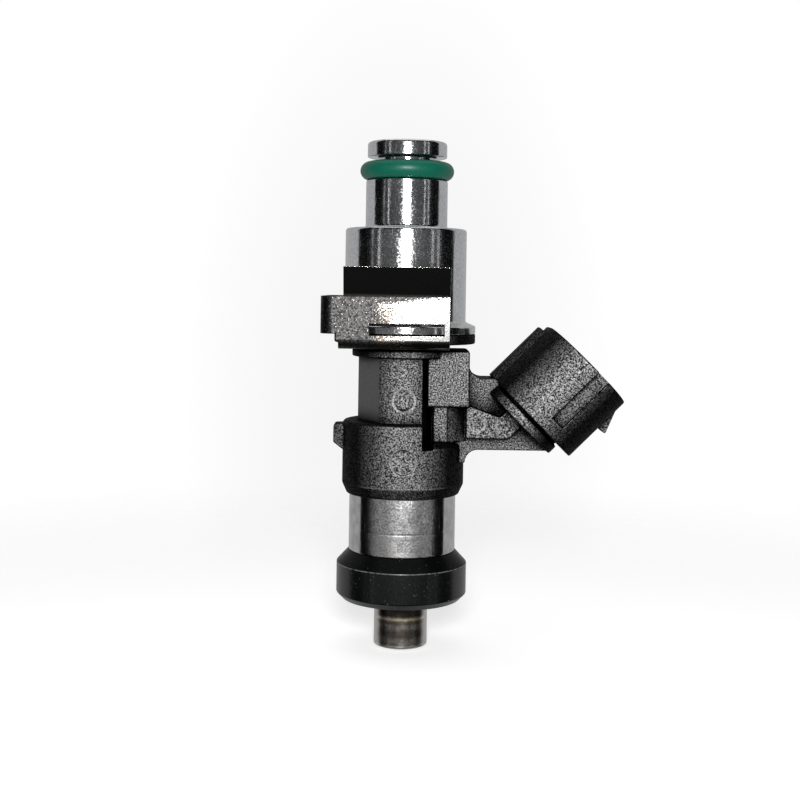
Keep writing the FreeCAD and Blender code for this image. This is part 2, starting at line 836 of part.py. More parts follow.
def clip_band():
    """The strip round three sides of the adapter, open towards +X."""
    inner_y = CLIP_Y - CLIP_THICK
    inner_x = CLIP_BACK_X + CLIP_THICK
    inner_r = CLIP_BEND_R - CLIP_THICK
    face = outline(
        [
            (CLIP_FRONT_X, -CLIP_Y),
            (CLIP_BACK_X, -CLIP_Y, CLIP_BEND_R),
            (CLIP_BACK_X, CLIP_Y, CLIP_BEND_R),
            (CLIP_FRONT_X, CLIP_Y),
            (CLIP_FRONT_X, inner_y),
            (inner_x, inner_y, inner_r),
            (inner_x, -inner_y, inner_r),
            (CLIP_FRONT_X, -inner_y),
        ],
        in_xy,
    )
    low, high = CLIP_BACK_ZS
    face.translate(FreeCAD.Vector(0, 0, low))
    return face.extrude(FreeCAD.Vector(0, 0, high - low))


def clip_side():
    """What one arm adds to the band: its lower edge, the fork below it and the wing above it."""
    inner_y = CLIP_Y - CLIP_THICK
    fork_low = CLIP_ARM_Z - CLIP_LIP_R
    fork_high = fork_low + CLIP_THICK
    skirt = block((CLIP_ARM_X, CLIP_FRONT_X), (-CLIP_Y, -inner_y), (CLIP_ARM_Z, CLIP_BACK_ZS[0]))
    fork = along_x(
        [
            (-CLIP_Y, CLIP_ARM_Z),
            (-CLIP_Y, fork_low, CLIP_LIP_R),
            (-CLIP_FORK_Y, fork_low),
            (-CLIP_FORK_Y, fork_high),
            (-inner_y, fork_high, CLIP_LIP_R - CLIP_THICK),
            (-inner_y, CLIP_ARM_Z),
        ],
        (CLIP_LIP_X, CLIP_FRONT_X),
    ).cut(rod(CLIP_FORK_R, 0, FAR + fork_high))
    wing_low = CLIP_BACK_ZS[1]
    lean = (CLIP_WING_TOP_Z - wing_low) * math.tan(math.radians(CLIP_WING_LEAN))
    wing = along_x(
        [
            (-CLIP_Y, wing_low),
            (-CLIP_Y - lean, CLIP_WING_TOP_Z),
            (-inner_y - lean, CLIP_WING_TOP_Z),
            (-inner_y, wing_low),
        ],
        (CLIP_WING_X, CLIP_FRONT_X),
    )
    return [skirt, fork, wing]


def retaining_clip():
    side = clip_side()
    band = clip_band().fuse(side + [mirrored(piece) for piece in side])
    slots = block(CLIP_SLOT_XS, (-FAR, FAR), CLIP_SLOT_ZS)
    return whole(band.cut(slots))


NODES = [
    valve_sleeve,
    orifice_plate,
    valve_seat,
    valve_ball,
    needle_tube,
    armature,
    inner_pole,
    adjusting_sleeve,
    return_spring,
    magnet_housing,
    cover_ring,
    coil_bobbin,
    coil_winding,
    terminal_front,
    terminal_rear,
    seal_carrier,
    lower_seal_ring,
    injector_body,
    top_hat,
    rail_o_ring,
    inlet_o_ring,
    backup_ring,
    filter_ring,
    filter_frame,
    filter_mesh,
    retaining_clip,
]


def main():
    os.makedirs("parts", exist_ok=True)
    for build in NODES:
        build().exportStep(os.path.join("parts", build.__name__ + ".step"))


main()
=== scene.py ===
import math

import bmesh
import bpy
from mathutils import Matrix, Vector


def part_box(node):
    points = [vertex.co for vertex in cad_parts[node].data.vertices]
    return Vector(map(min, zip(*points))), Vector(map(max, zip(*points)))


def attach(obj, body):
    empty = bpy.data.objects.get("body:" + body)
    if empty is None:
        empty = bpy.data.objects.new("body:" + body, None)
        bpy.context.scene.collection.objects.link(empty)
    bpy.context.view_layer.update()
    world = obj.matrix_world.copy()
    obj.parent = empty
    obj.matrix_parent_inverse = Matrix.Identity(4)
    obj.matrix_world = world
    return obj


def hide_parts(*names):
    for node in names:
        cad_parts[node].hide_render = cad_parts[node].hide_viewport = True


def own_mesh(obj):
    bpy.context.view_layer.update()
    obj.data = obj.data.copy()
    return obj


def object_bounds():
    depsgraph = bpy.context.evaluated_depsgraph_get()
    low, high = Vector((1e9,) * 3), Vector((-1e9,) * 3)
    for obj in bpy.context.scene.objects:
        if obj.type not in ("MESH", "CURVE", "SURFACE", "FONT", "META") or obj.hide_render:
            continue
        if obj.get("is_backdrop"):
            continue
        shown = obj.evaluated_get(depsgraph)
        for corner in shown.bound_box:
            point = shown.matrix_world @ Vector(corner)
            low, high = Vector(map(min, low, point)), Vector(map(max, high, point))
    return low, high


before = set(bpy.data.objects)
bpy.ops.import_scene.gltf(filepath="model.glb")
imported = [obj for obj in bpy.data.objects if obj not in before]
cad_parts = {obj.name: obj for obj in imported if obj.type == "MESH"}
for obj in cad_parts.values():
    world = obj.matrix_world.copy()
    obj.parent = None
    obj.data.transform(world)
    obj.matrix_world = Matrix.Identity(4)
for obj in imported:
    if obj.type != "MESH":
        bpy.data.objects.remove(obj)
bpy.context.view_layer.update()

# A fuel injector. The CAD nodes fix every size and place; the pieces here are finer meshes of the parts that
# show, and of the valve's spring. Every node and piece gets a procedural material. Lengths are millimetres,
# and are turned into metres by MM where Blender takes them.

MM = 0.001
BODY = "injector"

BLACK = (0.0, 0.0, 0.0, 1.0)
WHITE = (1.0, 1.0, 1.0, 1.0)

# The steel cup's weld line, and the moulding's parting line
WELD_Z = 15.45
SEAM_Z = 21.40

# The smooth flat on the column's left front: its distance from the axis, turn from the front and extent
FLAT_REACH = 5.34
FLAT_TURN = 62
FLAT_MIDDLE_Z = 33.65
FLAT_HALF = 3.95

# Round marks on the moulding's front: X, Z and radius
ROUND_MARKS = ((0.0, 24.8, 1.6), (0.0, 32.4, 1.45), (9.46, 29.45, 0.95))


# ---------------------------------------------------------------- shader graphs


class Graph:
    """A node tree, with short ways to add nodes to it."""

    def __init__(self, tree):
        self.tree = tree

    def add(self, kind, inputs=None, **settings):
        node = self.tree.nodes.new(kind)
        for key, value in settings.items():
            setattr(node, key, value)
        for key, value in (inputs or {}).items():
            self.put(node.inputs[key], value)
        return node

    def put(self, socket, value):
        if isinstance(value, bpy.types.NodeSocket):
            self.tree.links.new(value, socket)
        else:
            socket.default_value = value

    def maths(self, operation, first, second=0.0, third=0.0):
        node = self.add("ShaderNodeMath", operation=operation)
        for socket, value in zip(node.inputs, (first, second, third)):
            self.put(socket, value)
        return node.outputs["Value"]

    def product(self, first, second):
        return self.maths("MULTIPLY", first, second)

    def between(self, value, low, high, out_low=0.0, out_high=1.0):
        """Value rescaled from one range to another and clamped."""
        node = self.add(
            "ShaderNodeMapRange",
            {"Value": value, "From Min": low, "From Max": high, "To Min": out_low, "To Max": out_high},
        )
        return node.outputs["Result"]


class Finish(Graph):
    """A material's node tree, with its Principled shader."""

    def __init__(self, name):
        self.material = bpy.data.materials.new(name)
        self.material.use_nodes = True
        super().__init__(self.material.node_tree)
        self.shader = self.tree.nodes["Principled BSDF"]
        self.place = self.add("ShaderNodeTexCoord").outputs["Object"]

    def noise(self, size, detail=3.0, along=(1, 1, 1), roughness=0.5, offset=0.0):
        """Noise between 0 and 1, size across, and longer on an axis where along is under 1."""
        where = self.add("ShaderNodeMapping", {"Vector": self.place, "Scale": along}).outputs["Vector"]
        if offset:
            moved = self.add("ShaderNodeVectorMath", {0: where, 1: (offset, offset, offset)})
            where = moved.outputs["Vector"]
        node = self.add(
            "ShaderNodeTexNoise",
            {"Vector": where, "Scale": 1 / (size * MM), "Detail": detail, "Roughness": roughness},
        )
        return node.outputs["Fac"]

    def mixed(self, share, first, second):
        node = self.add("ShaderNodeMix", data_type="RGBA")
        for socket, value in ((0, share), (6, first), (7, second)):
            self.put(node.inputs[socket], value)
        return node.outputs[2]

    def coordinate(self, axis):
        split = self.add("ShaderNodeSeparateXYZ", {"Vector": self.place})
        return self.maths("DIVIDE", split.outputs[axis], MM)

    def height(self):
        """The height above the nozzle's end."""
        return self.coordinate("Z")

    def band(self, middle, half, soft):
        """1 within half of a height, 0 further out than soft beyond that."""
        away = self.maths("ABSOLUTE", self.maths("SUBTRACT", self.height(), middle))
        return self.between(away, half + soft, half)

    def circle(self, x, z, radius):
        """1 on a thin circle round (x, z) on the front."""
        across = self.maths("SUBTRACT", self.coordinate("X"), x)
        up = self.maths("SUBTRACT", self.coordinate("Z"), z)
        squares = self.maths("MULTIPLY_ADD", across, across, self.product(up, up))
        away = self.maths("ABSOLUTE", self.maths("SUBTRACT", self.maths("SQRT", squares), radius))
        return self.product(self.between(away, 0.17, 0.07), self.between(self.coordinate("Y"), -1, -2))

    def facing(self):
        """0 where the surface faces the eye, 1 where it is seen edge on."""
        return self.add("ShaderNodeLayerWeight", {"Blend": 0.5}).outputs["Facing"]

    def upward(self):
        """The Z part of the surface's normal."""
        normal = self.add("ShaderNodeTexCoord").outputs["Normal"]
        return self.add("ShaderNodeSeparateXYZ", {"Vector": normal}).outputs["Z"]

    def hollow(self, reach):
        """0 in the open, 1 in a recess that is about reach deep."""
        node = self.add("ShaderNodeAmbientOcclusion", {"Distance": reach * MM}, samples=6)
        return self.between(node.outputs["AO"], 0.86, 0.50)

    def bump(self, value, depth, strength=1.0):
        """Adds a relief of this depth on top of any relief already there."""
        node = self.add("ShaderNodeBump", {"Height": value, "Distance": depth * MM, "Strength": strength})
        normal = self.shader.inputs["Normal"]
        if normal.links:
            self.put(node.inputs["Normal"], normal.links[0].from_socket)
        self.put(normal, node.outputs["Normal"])

    def set(self, **values):
        for key, value in values.items():
            self.put(self.shader.inputs[key.replace("_", " ")], value)
        return self.material


def rgb(red, green, blue):
    return (red, green, blue, 1.0)


def dimmed(colour, factor):
    return rgb(*[part * factor for part in colour[:3]])


# ---------------------------------------------------------------- materials


def turned_metal(
    name, colour, rough, ring_size=0.16, ring_depth=0.0006, mottle=0.0015, aniso=0.5, speckle=0.0
):
    """Lathe-turned metal: fine rings round Z, soft mottling and duller patches.

    mottle is the depth of its unevenness, whose finer part shows only where the metal faces the eye;
    speckle, from 0 to 1, adds dull dots and scratches there.
    """
    g = Finish(name)
    rings = g.noise(ring_size, 4, along=(0.02, 0.02, 1))
    patches = g.noise(2.2, 4)
    specks = g.noise(0.35, 2, offset=3.0)
    face = g.between(g.facing(), 0.40, 0.26)
    g.bump(patches, mottle * 4, 0.5)
    g.bump(g.product(specks, face), mottle)
    g.bump(g.product(g.noise(0.16, 2, along=(1, 1, 0.6), offset=23.0), face), mottle * speckle)
    g.bump(rings, ring_depth)
    worn = g.between(g.noise(3.0, 2, offset=11.0), 0.55, 0.62)
    thin = g.between(g.noise(0.5, 1, along=(0.05, 0.05, 1), offset=13.0), 0.68, 0.72)
    g.bump(g.product(worn, thin), mottle * 4)
    g.bump(g.between(g.noise(0.4, 2, along=(1, 1, 0.1), offset=19.0), 0.62, 0.70), mottle * 0.7)
    roughness = g.between(patches, 0.35, 0.7, rough * 0.75, rough * 1.35)
    if speckle:
        roughness = g.maths("ADD", roughness, g.product(scuffs(g, speckle), face))
    tone = g.mixed(g.between(specks, 0.4, 0.65), colour, dimmed(colour, 0.80))
    tangent = g.add("ShaderNodeTangent", direction_type="RADIAL", axis="Z")
    return g.set(
        Base_Color=tone,
        Metallic=1.0,
        Roughness=roughness,
        Anisotropic=aniso,
        Anisotropic_Rotation=0.25,
        Tangent=tangent.outputs[0],
    )


def scuffs(g, amount):
    """Extra roughness in dots, and in scratches across and upright, here and there."""
    dots = g.between(g.noise(0.20, 3, along=(1, 1, 0.8), offset=29.0), 0.50, 0.66, 0.0, 0.22 * amount)
    across = g.between(g.noise(0.30, 2, along=(0.12, 0.12, 1), offset=31.0), 0.68, 0.74)
    upright = g.between(g.noise(0.30, 2, along=(1, 1, 0.08), offset=37.0), 0.68, 0.74)
    somewhere = g.between(g.noise(4.0, 2, offset=41.0), 0.42, 0.55, 0.0, 0.30 * amount)
    lines = g.product(g.maths("MAXIMUM", across, upright), somewhere)
    return g.maths("MAXIMUM", dots, lines)


def aluminium():
    colour = rgb(0.74, 0.75, 0.77)
    return turned_metal(
        "turned_aluminium", colour, 0.14, ring_depth=0.0016, mottle=0.004, aniso=0.65, speckle=0.75
    )


def steel_band():
    """Satin steel: hairlines and fine pits, scuffed below the weld line, and smoother seen at a slant, where
    a painted shade dims its reflection.
    """
    g = Finish("satin_steel")
    grain = g.noise(0.10, 4, along=(0.6, 0.6, 1))
    patches = g.noise(1.3, 5)
    specks = g.noise(0.24, 3, offset=5.0)
    hairs = g.between(g.noise(0.5, 2, along=(1, 1, 0.12), offset=17.0), 0.66, 0.72)
    below = g.between(g.height(), WELD_Z - 0.15, WELD_Z + 0.15, 1.0, 0.0)
    slant = g.between(g.facing(), 0.16, 0.32)
    face = g.maths("SUBTRACT", 1.0, slant)
    scuff = g.product(g.product(below, face), g.between(patches, 0.34, 0.56))
    g.bump(g.product(patches, face), 0.008, 0.5)
    g.bump(g.product(specks, face), 0.019)
    g.bump(g.product(grain, face), 0.0016)
    g.bump(hairs, 0.005)
    tone = g.mixed(g.between(specks, 0.40, 0.62), rgb(0.92, 0.92, 0.93), rgb(0.45, 0.45, 0.46))
    # Painted shade: a darker colour at a slant that dims the reflection on the band's sides.
    slant_shade_tone = g.mixed(g.between(patches, 0.35, 0.65), rgb(0.64, 0.64, 0.65), rgb(0.48, 0.48, 0.49))
    tone = g.mixed(slant, tone, slant_shade_tone)
    tone = g.mixed(g.product(scuff, 0.6), tone, rgb(0.66, 0.64, 0.62))
    rough = g.between(patches, 0.3, 0.7, 0.27, 0.35)
    rough = g.maths("MULTIPLY_ADD", scuff, 0.05, rough)
    rough = g.maths("MULTIPLY_ADD", slant, -0.19, rough)
    rough = g.maths("MULTIPLY_ADD", hairs, 0.14, rough)
    return g.set(Base_Color=tone, Metallic=1.0, Roughness=rough)


def nozzle_steel():
    """Drawn steel, stained in bands by the heat of its weld and by handling, with a thin light gold line, a
    painted shadow under the seal ring, a painted highlight round its bottom edge, and a painted reflection
    that makes it lighter at a slant.
    """
    g = Finish("drawn_steel")
    grain = g.noise(0.08, 4, along=(0.1, 0.1, 1))
    patches = g.noise(1.1, 4)
    specks = g.noise(0.28, 3, offset=7.0)
    slant = g.between(g.facing(), 0.35, 0.60)
    g.bump(patches, 0.006, 0.5)
    g.bump(specks, 0.004)
    g.bump(grain, 0.0016)
    tone = g.mixed(g.between(specks, 0.35, 0.65), rgb(0.46, 0.44, 0.40), rgb(0.24, 0.225, 0.20))
    bronze = g.product(g.band(1.9, 0.30, 0.45), 0.75)
    brown = g.product(g.band(3.35, 0.12, 0.20), 0.7)
    # Painted shadow: a dark band at the top, just under the seal ring.
    shadow_under_seal = g.band(4.9, 0.65, 0.25)
    gold_line = g.band(3.82, 0.09, 0.12)
    # Painted highlight: a light line round the bottom edge.
    rim = g.band(0.32, 0.05, 0.10)
    tone = g.mixed(bronze, tone, rgb(0.13, 0.10, 0.085))
    tone = g.mixed(brown, tone, rgb(0.16, 0.11, 0.08))
    tone = g.mixed(shadow_under_seal, tone, rgb(0.085, 0.07, 0.06))
    tone = g.mixed(gold_line, tone, rgb(0.85, 0.74, 0.50))
    tone = g.mixed(rim, tone, rgb(0.80, 0.80, 0.80))
    # Painted reflection: a lighter colour at a slant.
    tone = g.mixed(slant, tone, rgb(0.62, 0.60, 0.58))
    rough = g.between(patches, 0.3, 0.7, 0.26, 0.42)
    rough = g.maths("MULTIPLY_ADD", slant, -0.16, rough)
    return g.set(Base_Color=tone, Metallic=1.0, Roughness=rough)


def rolled_steel():
    """The clip's strip: bright and finely pitted, with a dark speckled film towards its bend and top edge
    that is partly painted shade, and painted black round the bend.
    """
    g = Finish("rolled_steel")
    bend_x = -9.0
    top_edge_z = 45.8
    pits = g.noise(0.26, 4)
    waves = g.noise(1.5, 3, offset=2.0)
    across = g.coordinate("X")
    stain_and_shade_across = g.maths("MULTIPLY_ADD", g.noise(1.8, 3, offset=9.0), 5.0, across)
    speckle = g.noise(0.20, 2, offset=15.0)
    edge = g.maths("MULTIPLY_ADD", speckle, 14.0, stain_and_shade_across)
    edge = g.maths("MULTIPLY_ADD", g.between(g.height(), top_edge_z - 0.9, top_edge_z), -7.5, edge)
    # The dark speckled film: partly real, partly painted shade where the strip turns from the light.
    film_and_shade = g.between(edge, 9.0, 6.8)
    holes = g.maths("MULTIPLY_ADD", g.between(speckle, 0.62, 0.70), -0.7, 1.0)
    film_and_shade = g.product(film_and_shade, holes)
    film_and_shade = g.product(film_and_shade, g.between(g.height(), top_edge_z + 0.3, top_edge_z - 0.1))
    g.bump(waves, 0.006, 0.6)
    g.bump(pits, 0.006)
    g.bump(g.product(film_and_shade, pits), 0.012)
    tone = g.mixed(g.between(pits, 0.35, 0.7), rgb(0.60, 0.59, 0.58), rgb(0.15, 0.147, 0.143))
    flecks = g.between(g.noise(0.24, 2, offset=21.0), 0.38, 0.62)
    # The film's dark tone, which also serves as painted shade.
    dull = g.mixed(flecks, rgb(0.008, 0.0075, 0.0075), rgb(0.062, 0.060, 0.059))
    warm = g.product(g.between(stain_and_shade_across, -1.6, 0.4), g.between(stain_and_shade_across, 4.5, 2.5))
    warm = g.product(warm, g.between(g.height(), top_edge_z - 0.6, top_edge_z - 1.2))
    dull = g.mixed(g.product(warm, 0.6), dull, rgb(0.10, 0.062, 0.030))
    # Painted shade: black round the bend, which turns away from the light.
    dull = g.mixed(g.between(across, bend_x, bend_x - 0.7), dull, rgb(0.004, 0.004, 0.004))
    tone = g.mixed(g.product(film_and_shade, 0.97), tone, dull)
    roughness = g.maths("MULTIPLY_ADD", film_and_shade, 0.30, g.between(pits, 0.3, 0.7, 0.13, 0.21))
    return g.set(Base_Color=tone, Metallic=1.0, Roughness=roughness)


def moulded(name, colour, rough, grain=0.2, depth=0.024, sparkle=1.0, smooth_part=None, seam=0.0, rings=()):
    """Glass-filled moulded plastic: a fine eroded grain with uneven glints, partly painted into its colour,
    and painted shade that turns it black in recesses and at a slant.

    smooth_part(g) is 1 where the mould was left smooth; seam is the height of a parting line, with a painted
    highlight along it; rings are round marks on the front, each (X, Z, radius), with a painted highlight on
    their raised edge.
    """
    g = Finish(name)
    fine = g.noise(grain, 2, roughness=0.6)
    coarse = g.noise(grain * 2.6, 2, offset=4.0)
    glints = g.noise(grain * 0.9, 1, offset=6.0)
    patches = g.noise(4.0, 3, offset=8.0)
    eroded = g.maths("SUBTRACT", 1.0, smooth_part(g)) if smooth_part else 1.0
    g.bump(g.product(coarse, eroded), depth * 0.7, 0.6)
    g.bump(g.product(fine, eroded), depth)
    tone = g.mixed(g.between(patches, 0.35, 0.65), colour, dimmed(colour, 0.7))
    # Painted glints: light grey specks in the colour, on top of the uneven specular level.
    glint = g.product(g.between(glints, 0.62, 0.80, 0.0, 0.10 * sparkle), eroded)
    tone = g.mixed(glint, tone, rgb(0.45, 0.45, 0.46))
    if seam:
        g.bump(g.band(seam, 0.03, 0.09), 0.05)
        # Painted highlight: a lighter line along the parting line's bead.
        tone = g.mixed(g.band(seam, 0.02, 0.07), tone, rgb(0.10, 0.10, 0.10))
    # Painted highlight: a light ring on each round mark's raised edge.
    for x, z, radius in rings:
        tone = g.mixed(g.circle(x, z, radius), tone, rgb(0.17, 0.17, 0.17))
    # Painted shade: the colour and the specular level go to black in recesses and at a slant.
    slant = g.product(g.between(g.facing(), 0.05, 0.34, 0.0, 0.93), eroded)
    open_air = g.between(g.hollow(2.6), 0, 0.85, 1.0, 0.02)
    shade = g.product(open_air, g.maths("SUBTRACT", 1.0, slant))
    level = g.between(glints, 0.40, 0.66, 0.5 - 0.38 * sparkle, 0.5 + 0.5 * sparkle)
    level = g.maths("ADD", g.product(level, eroded), g.maths("MULTIPLY_ADD", eroded, -0.58, 0.58))
    return g.set(
        Base_Color=g.mixed(shade, BLACK, tone),
        Roughness=g.between(coarse, 0.3, 0.7, rough * 0.9, rough * 1.12),
        IOR=2.4,
        Specular_IOR_Level=g.product(level, shade),
    )


def facet(g):
    """1 on the smooth flat on the column's left front."""
    turn = math.radians(FLAT_TURN)
    leftward = g.product(g.coordinate("X"), -math.sin(turn))
    forward = g.product(g.coordinate("Y"), -math.cos(turn))
    reach = g.maths("ADD", leftward, forward)
    on_flat = g.between(reach, FLAT_REACH - 0.12, FLAT_REACH - 0.06)
    return g.product(on_flat, g.band(FLAT_MIDDLE_Z, FLAT_HALF, 0.1))


def rubber(name, colour, rough, dust=0.5, level=0.35, index=1.5, edge=0.0):
    """Smooth moulded rubber with a soft sheen and a little dust. edge is the height of an edge with a painted
    highlight along it.
    """
    g = Finish(name)
    skin = g.noise(0.5, 4)
    fine = g.noise(0.12, 2, offset=2.0)
    spots = g.between(g.noise(0.24, 2, offset=5.0), 0.70, 0.76, 0.0, dust)
    g.bump(skin, 0.010)
    g.bump(fine, 0.003)
    pale = rgb(*[min(1.0, part * 1.6 + 0.10) for part in colour[:3]])
    tone = g.mixed(spots, colour, pale)
    if edge:
        # Painted highlight: an uneven lighter line along the edge.
        uneven = g.between(g.noise(0.5, 3, offset=14.0), 0.36, 0.52, 0.15, 1.0)
        tone = g.mixed(g.product(g.band(edge, 0.02, 0.07), uneven), tone, rgb(0.11, 0.115, 0.11))
        level = g.between(g.upward(), 0.2, 0.6, level, level * 0.12)
    roughness = g.between(skin, 0.3, 0.7, rough * 0.85, rough * 1.15)
    return g.set(Base_Color=tone, Roughness=roughness, IOR=index, Specular_IOR_Level=level)


# ---------------------------------------------------------------- mesh building

ROUNDING_STEPS = 6
SHARP_ANGLE = 30


def rounded(corners):
    """Points of a closed section. A corner is (radius, height), or has its rounding as well."""
    flat = [Vector((c[0], c[1], 0)) for c in corners]
    points = []
    for i, corner in enumerate(flat):
        rounding = corners[i][2] if len(corners[i]) > 2 else 0
        if not rounding:
            points.append(corner)
            continue
        back = (flat[i - 1] - corner).normalized()
        ahead = (flat[(i + 1) % len(flat)] - corner).normalized()
        half = back.angle(ahead) / 2
        centre = corner + (back + ahead).normalized() * rounding / math.sin(half)
        first = corner + back * rounding / math.tan(half) - centre
        last = corner + ahead * rounding / math.tan(half) - centre
        guard = min(0.06, rounding * 0.4)
        points.append(centre + first + back * guard)
        for step in range(ROUNDING_STEPS + 1):
            points.append(centre + first.slerp(last, step / ROUNDING_STEPS) * rounding)
        points.append(centre + last + ahead * guard)
    return [(p.x, p.y) for p in points]


def new_piece(name, verts, faces, material, replaced):
    """A smooth-shaded piece on the injector's body that stands for a CAD node. verts are in metres."""
    mesh = bpy.data.meshes.new(name)
    mesh.from_pydata(verts, [], faces)
    bm = bmesh.new()
    bm.from_mesh(mesh)
    bmesh.ops.recalc_face_normals(bm, faces=bm.faces)
    bm.to_mesh(mesh)
    bm.free()
    mesh.materials.append(material)
    mesh.polygons.foreach_set("use_smooth", [True] * len(mesh.polygons))
    mesh.set_sharp_from_angle(angle=math.radians(SHARP_ANGLE))
    piece = bpy.data.objects.new(name, mesh)
    bpy.context.scene.collection.objects.link(piece)
    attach(piece, BODY)
    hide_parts(replaced)
    return piece


def grid_faces(rows, count, closed):
    """Quads between rows of count points, each row a ring; closed joins the last row to the first."""
    faces = []
    for row in range(rows if closed else rows - 1):
        here = row * count
        there = (row + 1) % rows * count
        for i in range(count):
            j = (i + 1) % count
            faces.append((here + i, there + i, there + j, here + j))
    return faces


def lathe(name, section, material, replaced, segments):
    """Turns a closed section round Z."""
    verts = []
    for s in range(segments):
        angle = 2 * math.pi * s / segments
        for radius, height in section:
            verts.append((radius * math.cos(angle) * MM, radius * math.sin(angle) * MM, height * MM))
    faces = grid_faces(segments, len(section), closed=True)
    new_piece(name, verts, faces, material, replaced)


def ends(node):
    """A node's lowest and highest Z and its largest radius."""
    low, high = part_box(node)
    return low[2] / MM, high[2] / MM, high[1] / MM


# ---------------------------------------------------------------- pieces


def adapter():
    low, high, flange = ends("top_hat")
    body = 8.0
    neck = 5.4
    rim = 5.25
    groove = 3.8
    bore = 2.75
    cup = 6.75
    shoulder = high - 11.4
    groove_low = high - 5.1
    groove_high = high - 2.0
    section = rounded(
        [
            (cup + 0.2, low, 0.08),
            (flange, low, 0.15),
            (flange, low + 1.0, 0.2),
            (body, low + 1.55, 0.3),
            (body, shoulder - 0.9),
            (body, shoulder, 0.4),
            (neck, shoulder, 0.45),
            (neck, groove_low, 0.12),
            (groove, groove_low, 0.25),
            (groove, groove_high, 0.25),
            (rim, groove_high, 0.12),
            (rim, high, 0.4),
            (bore + 0.4, high, 0.1),
            (bore, high - 0.4, 0.1),
            (bore, low + 12.05, 0.5),
            (cup, low + 10.05, 0.3),
            (cup, low + 0.2, 0.08),
        ]
    )
    lathe("adapter", section, aluminium(), "top_hat", 256)


def green_ring():
    low, high, outer = ends("rail_o_ring")
    half = (high - low) / 2
    steps = 48
    section = []
    for i in range(steps):
        angle = 2 * math.pi * i / steps
        section.append((outer - half + half * math.cos(angle), (low + high) / 2 + half * math.sin(angle)))
    green = rubber("green_rubber", rgb(0.0015, 0.100, 0.062), 0.40, 0.15)
    lathe("green_ring", section, green, "rail_o_ring", 256)


def seal_ring():
    low, high, outer = ends("lower_seal_ring")
    bore = 5.2
    rib = 6.0
    rib_low = low + 2.05
    rib_high = low + 4.25
    wall_top = high - 1.6
    section = rounded(
        [
            (bore, low, 0.15),
            (outer - 0.8, low, 0.15),
            (outer, low + 0.8, 0.2),
            (outer, wall_top, 0.15),
            (7.05, high, 0.1),
            (bore, high),
            (bore, rib_high),
            (rib, rib_high),
            (rib, rib_low),
            (bore, rib_low),
        ]
    )
    colour = rgb(0.0018, 0.0022, 0.0022)
    black = rubber("black_rubber", colour, 0.25, dust=0.9, level=0.36, index=1.7, edge=wall_top - 0.02)
    lathe("seal_ring", section, black, "lower_seal_ring", 224)


def steel_cup():
    low, high, outer = ends("magnet_housing")
    inner = outer - 0.8
    sleeve = 3.5
    weld_depth = 0.015
    base = low + 1.55
    section = rounded(
        [
            (sleeve, low),
            (outer, low, 0.2),
            (outer, WELD_Z - 0.24),
            (outer, WELD_Z - 0.16),
            (outer - weld_depth, WELD_Z - 0.05),
            (outer - weld_depth, WELD_Z + 0.05),
            (outer, WELD_Z + 0.16),
            (outer, WELD_Z + 0.24),
            (outer, high),
            (inner, high),
            (inner, base),
            (sleeve, base),
        ]
    )
    lathe("steel_cup", section, steel_band(), "magnet_housing", 256)


def closing_spring():
    """The valve's coil spring. Its lower end rises with the armature, so it shortens by the valve's lift."""
    low, high, outer = ends("return_spring")
    wire = 0.17
    turns = 9
    round_steps = 12
    turn_steps = 36
    mean = outer - wire
    climb = (high - low - 2 * wire) / turns
    slope = math.atan(climb / (2 * math.pi * mean))
    rows = turns * turn_steps + 1
    verts = []
    for step in range(rows):
        angle = 2 * math.pi * step / turn_steps
        outward = Vector((math.cos(angle), math.sin(angle), 0))
        level = Vector((-math.sin(angle), math.cos(angle), 0))
        along = level * math.cos(slope) + Vector((0, 0, math.sin(slope)))
        across = along.cross(outward)
        centre = outward * mean + Vector((0, 0, low + wire + climb * step / turn_steps))
        for k in range(round_steps):
            around = 2 * math.pi * k / round_steps
            verts.append((centre + (outward * math.cos(around) + across * math.sin(around)) * wire) * MM)
    faces = grid_faces(rows, round_steps, closed=False)
    last_ring = (rows - 1) * round_steps
    faces.append(tuple(range(round_steps)))
    faces.append(tuple(last_ring + k for k in range(round_steps)))
    steel = turned_metal("spring_steel", rgb(0.56, 0.56, 0.58), 0.25, aniso=0.2)
    spring = new_piece("closing_spring", verts, faces, steel, "return_spring")
    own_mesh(spring)


# ---------------------------------------------------------------- CAD nodes


def finish_node(name, material):
    """Gives a CAD node its material."""
    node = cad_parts[name]
    if not node.material_slots:
        node.data.materials.append(material)
    for place in node.material_slots:
        place.link = "OBJECT"
        place.material = material


def soften(name, voxel, rounds):
    """Rounds a CAD node's edges a little: an even fine mesh of the same shape, relaxed."""
    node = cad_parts[name]
    remesh = node.modifiers.new("even mesh", "REMESH")
    remesh.mode = "VOXEL"
    remesh.voxel_size = voxel * MM
    remesh.use_smooth_shade = True
    relax = node.modifiers.new("rounded edges", "SMOOTH")
    relax.factor = 0.5
    relax.iterations = rounds


def break_edges(name, width):
    """Rolls a CAD node's sharp edges over by this width."""
    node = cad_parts[name]
    weld = node.modifiers.new("welded", "WELD")
    weld.merge_threshold = 0.001 * MM
    bevel = node.modifiers.new("broken edges", "BEVEL")
    bevel.width = width * MM
    bevel.segments = 3
    bevel.limit_method = "ANGLE"
    bevel.angle_limit = math.radians(40)
    bevel.harden_normals = True


